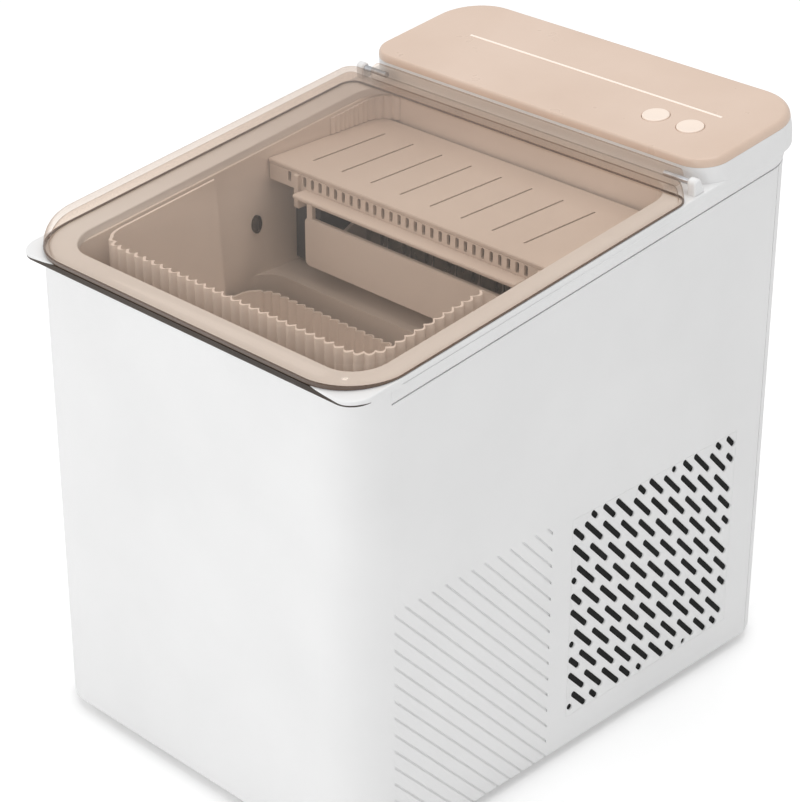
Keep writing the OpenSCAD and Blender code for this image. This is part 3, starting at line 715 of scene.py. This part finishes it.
def build_lid(bm):
    """Shallow dish, upside down: a broad roll at the front and tight edges at the sides."""
    foot = 0.4 * MM
    side_roll = 2.2 * MM
    front_roll = 8.6 * MM
    height = lid_rise - foot
    outer = []
    inner = []
    for s, c in quarter(9):
        z = foot + height * s
        outer.append(at_height(lid_outline(side_roll * (1 - c), front_roll * (1 - c)), z))
        z_in = foot + (height - lid_t) * s
        side = lid_t + (side_roll - 0.6 * MM) * (1 - c)
        front = lid_t + (front_roll - 0.6 * MM) * (1 - c)
        inner.append(at_height(lid_outline(side, front), z_in))
    rows = loft(bm, list(reversed(inner)) + outer)
    bm.faces.new(rows[0])
    bm.faces.new(rows[-1])


def build_barrel(bm):
    """Hinge barrel along the lid's rear edge, between the ears."""
    barrel = rim_half - 13 * MM
    r = lid_rise - hinge_rise
    steps = 24
    stations = []
    for x, k in ((-barrel, 0.85), (-barrel + 0.8 * MM, 1), (barrel - 0.8 * MM, 1), (barrel, 0.85)):
        stations.append([
            Vector((x, hinge_y + r * k * math.cos(a), hinge_rise + r * k * math.sin(a)))
            for a in [2 * math.pi * i / steps for i in range(steps)]
        ])
    strip(bm, stations)


def build_lid_edge(bm):
    """Cut edge of the sheet, where the tint is seen end-on: tall at the front, fine elsewhere."""
    low = 0.25 * MM
    side_high = 0.7
    front_gain = 1.5
    stations = []
    ring = lid_outline(-0.05 * MM, -0.05 * MM)
    ring_in = lid_outline(0.9 * MM, 0.9 * MM)
    for (x, y), (u, v) in zip(ring, ring_in):
        front = min(1, max(0, (lid_front + 26 * MM - y) / (24 * MM)))
        high = (side_high + front_gain * front) * MM
        stations.append([
            Vector((x, y, low)), Vector((x, y, high)), Vector((u, v, high)), Vector((u, v, low))
        ])
    strip(bm, stations + stations[:1], capped=False)


make_piece("lid_shell", build_lid, lid_tint, "lid", ("lid",), deck)
make_piece("lid_barrel", build_barrel, lid_tint, "lid", matrix=deck)
make_piece("lid_edge", build_lid_edge, lid_edge_tint, "lid", matrix=deck)


# ---------- grilles ----------

slot_half = 1.5 * MM
slot_pitch = 6.18 * MM
slot_step = 25.8 * MM
slot_core = 16.4 * MM
slot_angle = math.radians(-46.7)
slot_shift = (1.8 * MM, 2.6 * MM)
grille_t = 0.9 * MM


def clipped(a, b, low, high):
    """The part of segment a-b inside a rectangle, or None."""
    t0, t1 = 0.0, 1.0
    d = b - a
    for axis in (0, 1):
        if abs(d[axis]) < 1e-9:
            continue
        u = (low[axis] - a[axis]) / d[axis]
        v = (high[axis] - a[axis]) / d[axis]
        t0 = max(t0, min(u, v))
        t1 = min(t1, max(u, v))
    return (a + d * t0, a + d * t1) if t1 > t0 else None


def slot_lines(w, h):
    """Middle lines of the staggered diagonal slots that fill a w by h rectangle."""
    along = Vector((math.cos(slot_angle), math.sin(slot_angle)))
    across = Vector((-along.y, along.x))
    start = along * slot_shift[0] + across * slot_shift[1]
    inset = slot_half + 0.6 * MM
    low = (-w / 2 + inset, -h / 2 + inset)
    high = (w / 2 - inset, h / 2 - inset)
    lines = []
    for i in range(-16, 17):
        for j in range(-5, 6):
            middle = start + along * (j + 0.5 * (i % 2)) * slot_step + across * i * slot_pitch
            half_line = along * slot_core / 2
            line = clipped(middle - half_line, middle + half_line, low, high)
            if line:
                lines.append(line)
    return lines


def capsule(a, b, r, steps=7):
    """Outline of a slot round the line from a to b."""
    d = b - a
    start = math.atan2(d.y, d.x) if d.length > 1e-7 else 0.0
    points = []
    for centre, turn in ((b, -math.pi / 2), (a, math.pi / 2)):
        for i in range(steps + 1):
            angle = start + turn + math.pi * i / steps
            points.append((centre.x + r * math.cos(angle), centre.y + r * math.sin(angle)))
    return points


def build_grille(side):
    """Side grille in one plate, its slots with rounded ends and softened edges."""
    def build(bm):
        w = grille_y1 - grille_y0
        h = grille_z1 - grille_z0
        centre = ((grille_y0 + grille_y1) / 2, (grille_z0 + grille_z1) / 2)
        bevel = 0.25 * MM
        x_out = body_half
        depth = grille_t

        def place(points, inward):
            x = side * (x_out - inward)
            return [Vector((x, centre[0] + u, centre[1] + v)) for u, v in points]

        frame_points = [(-w / 2, -h / 2), (w / 2, -h / 2), (w / 2, h / 2), (-w / 2, h / 2)]
        frame_rows = loft(bm, [place(frame_points, depth), place(frame_points, 0)])
        front_loops, back_loops = [], []
        for a, b in slot_lines(w, h):
            rows = loft(bm, [
                place(capsule(a, b, slot_half + bevel), 0),
                place(capsule(a, b, slot_half + bevel * 0.3), bevel * 0.4),
                place(capsule(a, b, slot_half), bevel),
                place(capsule(a, b, slot_half), depth),
            ])
            front_loops.append(rows[0])
            back_loops.append(rows[-1])
        fill_with_holes(bm, frame_rows[1], front_loops)
        fill_with_holes(bm, frame_rows[0], back_loops)
    return build


make_piece("grille_plate_right", build_grille(1), white, "case", ("grille_right",))
make_piece("grille_plate_left", build_grille(-1), white, "case", ("grille_left",))


def build_filter(side):
    """Washable dust filter behind a grille: a thin sheet with softened edges."""
    def build(bm):
        outer = body_half - grille_t - 0.02 * MM
        steps = ((outer - 1.2 * MM, 0), (outer - 0.5 * MM, 0), (outer, 0.7 * MM), (outer, 2 * MM))
        rings = []
        for x, d in steps:
            points = ((grille_y0 + d, grille_z0 + d), (grille_y1 - d, grille_z0 + d),
                      (grille_y1 - d, grille_z1 - d), (grille_y0 + d, grille_z1 - d))
            rings.append([Vector((side * x, y, z)) for y, z in points])
        loft(bm, rings, cap=True)
    return build


make_piece("dust_filter_right", build_filter(1), filter_black, "case")
make_piece("dust_filter_left", build_filter(-1), filter_black, "case")


# ---------- ice basket ----------

basket_low, basket_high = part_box("ice_basket")


def fluted(points, pitch, depth):
    """Resamples a closed outline finely and presses upright flutes into it."""
    loop = [Vector(p) for p in points]
    pairs = list(zip(loop, loop[1:] + loop[:1]))
    length = sum((b - a).length for a, b in pairs)
    per_flute = 8
    count = round(length / pitch) * per_flute
    result = []
    walked = 0.0
    index = 0
    for a, b in pairs:
        span = (b - a).length
        if span < 1e-9:
            continue
        direction = (b - a) / span
        inward = Vector((-direction.y, direction.x))
        while index < count and index * length / count <= walked + span:
            along = index * length / count - walked
            phase = (index % per_flute) / per_flute
            press = depth * (1 - abs(math.cos(math.pi * phase)))
            point = a + direction * along
            smooth = min(1, max(0, (point.x + 88 * MM) / (4 * MM)))
            result.append(tuple(point + inward * press * smooth))
            index += 1
        walked += span
    return result


def build_basket(bm):
    """Open basket whose walls are pressed into upright flutes, with a slotted floor."""
    half = basket_high.x
    front = basket_low.y
    rear = basket_high.y
    thick = 1.2 * MM
    corner = 14 * MM
    flute_pitch = 6 * MM
    flute_depth = 2.4 * MM
    rear_lip_z = 192 * MM
    outer = fluted(symmetric(half, front, rear, corner, corner), flute_pitch, flute_depth)
    centre_y = (front + rear) / 2

    def drawn_in(points, d):
        return [
            (x * (1 - d / half), centre_y + (y - centre_y) * (1 - d / (rear - centre_y)))
            for x, y in points
        ]

    def lip(y):
        step = min(1, max(0, (y + 50 * MM) / (4 * MM)))
        return deck_height(y, -1.6 * MM) * (1 - step) + rear_lip_z * step

    inner = drawn_in(outer, thick)
    floor_z = basket_low.z
    rings = [
        at_height(drawn_in(outer, 3 * MM), floor_z),
        at_height(outer, floor_z + 1.5 * MM),
        [Vector((x, y, lip(y))) for x, y in outer],
        [Vector((x, y, lip(y))) for x, y in inner],
        at_height(inner, floor_z + 2.2 * MM),
    ]
    rows = loft(bm, rings)
    slots_low, slots_high = [], []
    for i in range(-9, 10):
        points = outline(
            i * 8 * MM - 1.5 * MM, centre_y - 28 * MM, i * 8 * MM + 1.5 * MM, centre_y + 28 * MM,
            1.4 * MM, 1.4 * MM, 4,
        )
        hole = loft(bm, [at_height(points, floor_z), at_height(points, floor_z + 2.2 * MM)])
        slots_low.append(hole[0])
        slots_high.append(hole[1])
    fill_with_holes(bm, rows[0], slots_low)
    fill_with_holes(bm, rows[-1], slots_high)


make_piece(
    "basket_shell", build_basket, basket_cream, "ice_basket", ("ice_basket",)
)


# ---------- chute cover, shovel and sensors ----------

def slab(bm, shape, low, high, edge, place, holes=()):
    """Plate with softened edges between two levels, set in space by place(u, v, level)."""
    levels = ((edge, low), (0, low + edge), (0, high - edge), (edge, high))
    rows = loft(bm, [[place(u, v, w) for u, v in shape(d)] for d, w in levels])
    lows, highs = [], []
    for hole in holes:
        cut = loft(bm, [[place(u, v, w) for u, v in hole] for w in (low, high)])
        lows.append(cut[0])
        highs.append(cut[1])
    fill_with_holes(bm, rows[0], lows)
    fill_with_holes(bm, rows[-1], highs)


def rounded(x0, y0, x1, y1, r, rear_r=None):
    """Shape function for slab: a round-cornered rectangle in millimetres, drawn in by d."""
    far_r = r if rear_r is None else rear_r

    def shape(d):
        low = 0.05 * MM
        return outline(
            x0 * MM + d, y0 * MM + d, x1 * MM - d, y1 * MM - d,
            max(r * MM - d, low), max(far_r * MM - d, low), 6,
        )
    return shape


def lying(u, v, level):
    return Vector((u, v, level))


def facing_front(u, v, level):
    return Vector((u, level, v))


def facing_side(u, v, level):
    return Vector((level, u, v))


cover_half = 96.1
cover_top = 255
shelf_top = 246
step_y = -9
lip_y = -18
shovel_axis = Vector((0, -6 * MM, 240 * MM))


def build_cover(bm):
    """Deck over the evaporator with its slots, the comb in its step and the shelf below."""
    slots = [rounded(-78 + 20 * i, 4, -76.8 + 20 * i, 54, 0.5)(0) for i in range(8)]
    slab(
        bm, rounded(-cover_half, step_y, cover_half, 70, 0.6, 6),
        (cover_top - 2.2) * MM, cover_top * MM, 0.5 * MM, lying, slots,
    )
    teeth = [rounded(-82 + 5.4 * i, 246.8, -79.8 + 5.4 * i, 252.2, 0.8)(0) for i in range(30)]
    slab(
        bm, rounded(-cover_half + 0.4, shelf_top - 2, cover_half - 0.4, cover_top - 2.25, 0.5),
        (step_y + 0.1) * MM, (step_y + 2) * MM, 0.3 * MM, facing_front, teeth,
    )
    slab(
        bm, rounded(-70, lip_y, 77, step_y + 0.05, 1.5, 0.3),
        (shelf_top - 2) * MM, shelf_top * MM, 0.5 * MM, lying,
    )
    for x in (-76, 84):
        cheek = rounded(-11, 235, -1, cover_top - 2.3, 1)
        slab(bm, cheek, x * MM, (x + 3) * MM, 0.3 * MM, facing_side)


def build_shovel(bm):
    """Shovel blade hung from its shaft by an arm at each end."""
    shaft_r = 3 * MM
    ring = circle(shovel_axis.y, shovel_axis.z, shaft_r, 24)
    loft(bm, [[Vector((x * MM, y, z)) for y, z in ring] for x in (-76.6, 87.6)], cap=True)
    back, face = -4.5 * MM, -7.5 * MM
    slab(bm, rounded(-72.6, 204, 83.6, 230, 3), face, back, 0.6 * MM, facing_front)
    inset = 0.3 * MM
    for x in (-71, 78):
        arm = rounded(x, 228, x + 4, 239, 0.5)
        slab(bm, arm, face + inset, back - inset, 0.2 * MM, facing_front)


def build_sensor(side):
    """Small ice sensor: a collar in the wall and a domed oval window."""
    def build(bm):
        low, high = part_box("ir_sensor_right" if side > 0 else "ir_sensor_left")
        middle = (low + high) / 2
        wall_x = 96.4 * MM
        half_w = 3.2 * MM
        tallness = 1.5
        profile = ((0, 1), (1.2, 1), (1.6, 0.85), (2.4, 0.6), (2.7, 0.25))
        rings = []
        for out, k in profile:
            rings.append([
                Vector((side * (wall_x - out * MM), middle.y + y * k, middle.z + z * k * tallness))
                for y, z in circle(0, 0, half_w, 32)
            ])
        loft(bm, rings, cap=True)
    return build


# The chute cover's darker cream is painted shade.
make_piece("chute_cover", build_cover, cover_cream_painted_shade, "case", ("evaporator_cover",))
make_piece(
    "shovel_blade", build_shovel, basket_cream, "ice_shovel", ("ice_shovel",)
)
for side_name, side in (("right", 1), ("left", -1)):
    make_piece(
        "ice_eye_" + side_name, build_sensor(side), sensor_dark, "case",
        ("ir_sensor_" + side_name,),
    )


# ---------- chamber flutes ----------

def build_chamber_flutes(bm):
    """Upright flutes round the two rear corners of the ice chamber."""
    inner_half = 96.5 * MM
    rear = 72 * MM
    r = 12 * MM
    bottom = 255.3 * MM
    ribs = 8
    for side in (-1, 1):
        path = []
        for i in range(ribs * 4):
            y = rear - r - 26 * MM * (1 - i / (ribs * 4))
            path.append((Vector((inner_half, y)), Vector((-1, 0))))
        for i in range(17):
            a = math.radians(90 * i / 16)
            out = Vector((math.cos(a), math.sin(a)))
            path.append((Vector((inner_half - r, rear - r)) + out * r, -out))
        stations = []
        for i, (point, inward) in enumerate(path):
            rise = (0.4 + 1.2 * abs(math.sin(math.pi * i / 4))) * MM
            p = point + inward * rise
            q = point + inward * 0.1 * MM
            stations.append([
                Vector((side * q.x, q.y, bottom)),
                Vector((side * p.x, p.y, bottom)),
                Vector((side * p.x, p.y, deck_height(p.y, -5.5 * MM))),
                Vector((side * q.x, q.y, deck_height(q.y, -5.5 * MM))),
            ])
        strip(bm, stations)


make_piece("chamber_flutes", build_chamber_flutes, liner_cream, "case")


# ---------- stage, lights and camera ----------

def add_floor():
    """Pale sweep: a flat floor that curves up behind, square to the view."""
    bm = bmesh.new()
    reach = 6.0
    rise_start = 2.5
    depth_steps = 16
    rows = []
    for i in range(depth_steps + 1):
        y = -reach + (rise_start + reach) * i / depth_steps
        rows.append((y, 0.0))
    for i in range(1, 9):
        a = math.pi / 2 * i / 8
        rows.append((rise_start + 1.5 * math.sin(a), 1.5 * (1 - math.cos(a))))
    previous = None
    turn = Matrix.Rotation(math.radians(44.7), 4, "Z")
    for y, z in rows:
        pair = [bm.verts.new(turn @ Vector((x, y, z))) for x in (-reach, reach)]
        if previous:
            bm.faces.new((previous[0], previous[1], pair[1], pair[0]))
        previous = pair
    mesh = bpy.data.meshes.new("studio_floor")
    bm.to_mesh(mesh)
    bm.free()
    for polygon in mesh.polygons:
        polygon.use_smooth = True
    obj = bpy.data.objects.new("studio_floor", mesh)
    bpy.context.scene.collection.objects.link(obj)
    s = Shader("studio_white")
    s.paint(s.noise(2), (0.97, 0.97, 0.97), (0.985, 0.985, 0.985))
    s.roughness(s.noise(6), 0.85, 0.95)
    s.main.inputs["Emission Color"].default_value = (1, 1, 1, 1)
    seen = s.tree.nodes.new("ShaderNodeLightPath")
    lift = s.between(seen.outputs["Is Camera Ray"], 0, 0.22, 0, 1)
    s.link(lift, s.main.inputs["Emission Strength"])
    mesh.materials.append(s.material)


def add_area(name, place, aim, size, power):
    light = bpy.data.lights.new(name, "AREA")
    light.shape = "SQUARE"
    light.size = size
    light.energy = power
    obj = bpy.data.objects.new(name, light)
    obj.location = place
    obj.rotation_euler = (Vector(aim) - Vector(place)).to_track_quat("-Z", "Y").to_euler()
    bpy.context.scene.collection.objects.link(obj)


def add_world(strength):
    world = bpy.data.worlds.new("studio")
    world.use_nodes = True
    background = world.node_tree.nodes["Background"]
    background.inputs["Color"].default_value = (1, 1, 1, 1)
    background.inputs["Strength"].default_value = strength
    bpy.context.scene.world = world


def add_camera():
    camera = bpy.data.cameras.new("camera")
    camera.sensor_width = 36
    camera.sensor_fit = "HORIZONTAL"
    camera.lens = 114.0
    camera.clip_end = 50
    obj = bpy.data.objects.new("camera", camera)
    obj.location = (0.7681, -0.7898, 0.7344)
    obj.rotation_euler = (math.pi / 2 - 0.4868, 0, 0.7801)
    bpy.context.scene.collection.objects.link(obj)
    bpy.context.scene.camera = obj


middle = (0, 0, 0.15)
add_floor()
add_world(0.64)
add_area("top_softbox", (0.1, 0.2, 1.9), middle, 1.6, 12)
add_area("front_softbox", (-0.9, -1.7, 1.1), middle, 1.4, 8)
add_area("corner_strip", (0.75, -1.5, 0.4), (0.1, -0.14, 0.12), 0.3, 2.2)
add_camera()
bpy.context.scene.view_settings.view_transform = "Standard"
